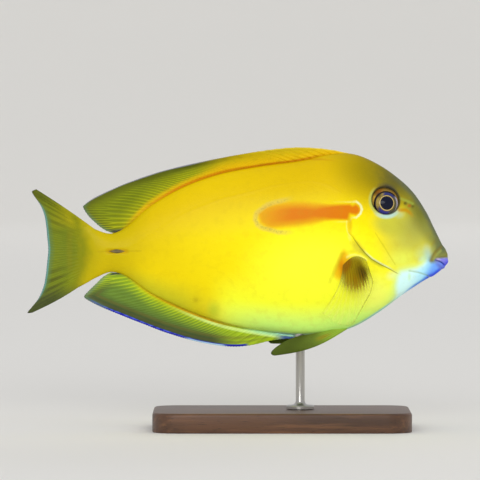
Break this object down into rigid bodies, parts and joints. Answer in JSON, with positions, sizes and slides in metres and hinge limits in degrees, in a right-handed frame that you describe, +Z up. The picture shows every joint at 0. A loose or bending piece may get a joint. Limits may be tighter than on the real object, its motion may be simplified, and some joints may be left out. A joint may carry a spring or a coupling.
{
  "type": "orangeshoulder tang display model",
  "caption": "Life-size surgeonfish with spread fins, a shoulder band and folded tail spines, held level over a flat wooden base by one short steel rod.",
  "frame": {"origin": "on the floor, under the middle of the fish's total length, in its middle plane", "axes": "+X towards the snout, +Y towards the fish's left side, +Z up"},
  "size_m": [0.15, 0.056, 0.1009],
  "materials": {
    "skin": "wet, finely scaled skin: yellow with an orange shoulder band and a blue chin",
    "fin_membrane": "satin fin membrane over raised rays: olive, with yellow roots and blue margins",
    "eye": "clear wet cornea over a dark pupil and a gold and blue iris",
    "scalpel_bone": "satin bony blade in a skin sheath",
    "stand_wood": "dark oiled walnut with eased edges",
    "stand_steel": "turned and brushed steel"
  },
  "bodies": {
    "root": {"head": "skin", "torso": "skin", "tail_stalk": "skin", "dorsal_fin": "fin_membrane", "anal_fin": "fin_membrane", "tail_fin_upper": "fin_membrane", "tail_fin_lower": "fin_membrane", "pectoral_fin_right": "fin_membrane", "pectoral_fin_left": "fin_membrane", "pelvic_fin_right": "fin_membrane", "pelvic_fin_left": "fin_membrane", "eye_right": "eye", "eye_left": "eye", "scalpel_right": "scalpel_bone", "scalpel_left": "scalpel_bone", "stand_base": "stand_wood", "stand_rod": "stand_steel"}
  },
  "joints": []
}
